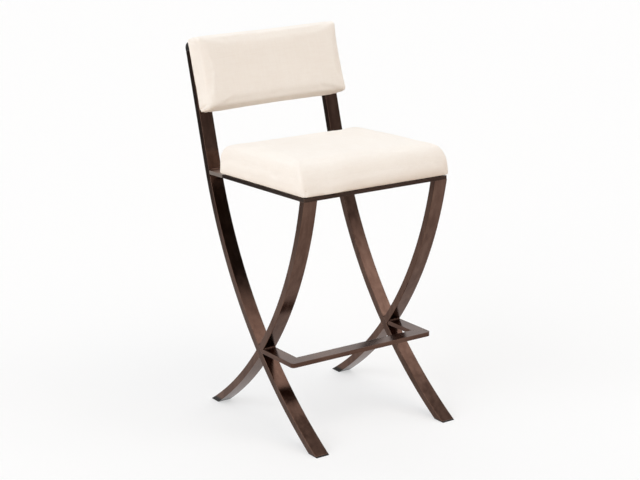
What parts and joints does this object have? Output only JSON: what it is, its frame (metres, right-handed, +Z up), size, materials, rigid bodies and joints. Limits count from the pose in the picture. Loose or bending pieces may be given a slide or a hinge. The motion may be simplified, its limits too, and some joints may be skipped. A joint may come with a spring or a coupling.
{
  "type": "bar stool",
  "caption": "Bar stool with crossed, curved flat-tube side frames, a U-shaped footrest, and a padded cream seat and backrest.",
  "frame": {"origin": "on the floor, at the middle of the stool's footprint", "axes": "+Z up, the sitter faces -Y, +X is on the right as seen from the front"},
  "size_m": [0.4666, 0.6201, 1.0213],
  "materials": {
    "steel": "satin",
    "black_plastic": "matte",
    "zinc": "satin",
    "plywood": "matte",
    "foam": "matte",
    "cream_fabric": "matte",
    "black_cloth": "matte"
  },
  "bodies": {
    "root": {"left_post_tube": "steel", "right_post_tube": "steel", "left_rear_leg_upper": "steel", "right_rear_leg_upper": "steel", "left_rear_leg_lower": "steel", "right_rear_leg_lower": "steel", "left_frame_welds": "steel", "right_frame_welds": "steel", "left_post_cap": "black_plastic", "right_post_cap": "black_plastic", "front_left_foot_plug": "black_plastic", "front_right_foot_plug": "black_plastic", "rear_left_foot_plug": "black_plastic", "rear_right_foot_plug": "black_plastic", "seat_front_rail": "steel", "seat_rear_rail": "steel", "seat_left_rail": "steel", "seat_right_rail": "steel", "footrest_front_bar": "steel", "footrest_left_arm": "steel", "footrest_right_arm": "steel", "seat_board": "plywood", "seat_foam": "foam", "seat_cover": "cream_fabric", "seat_dust_cover": "black_cloth", "seat_tee_nuts": "zinc", "seat_screws": "zinc", "back_board": "plywood", "back_foam": "foam", "back_cover": "cream_fabric", "back_panel": "cream_fabric", "back_tee_nuts": "zinc", "back_screws": "zinc"}
  },
  "joints": []
}
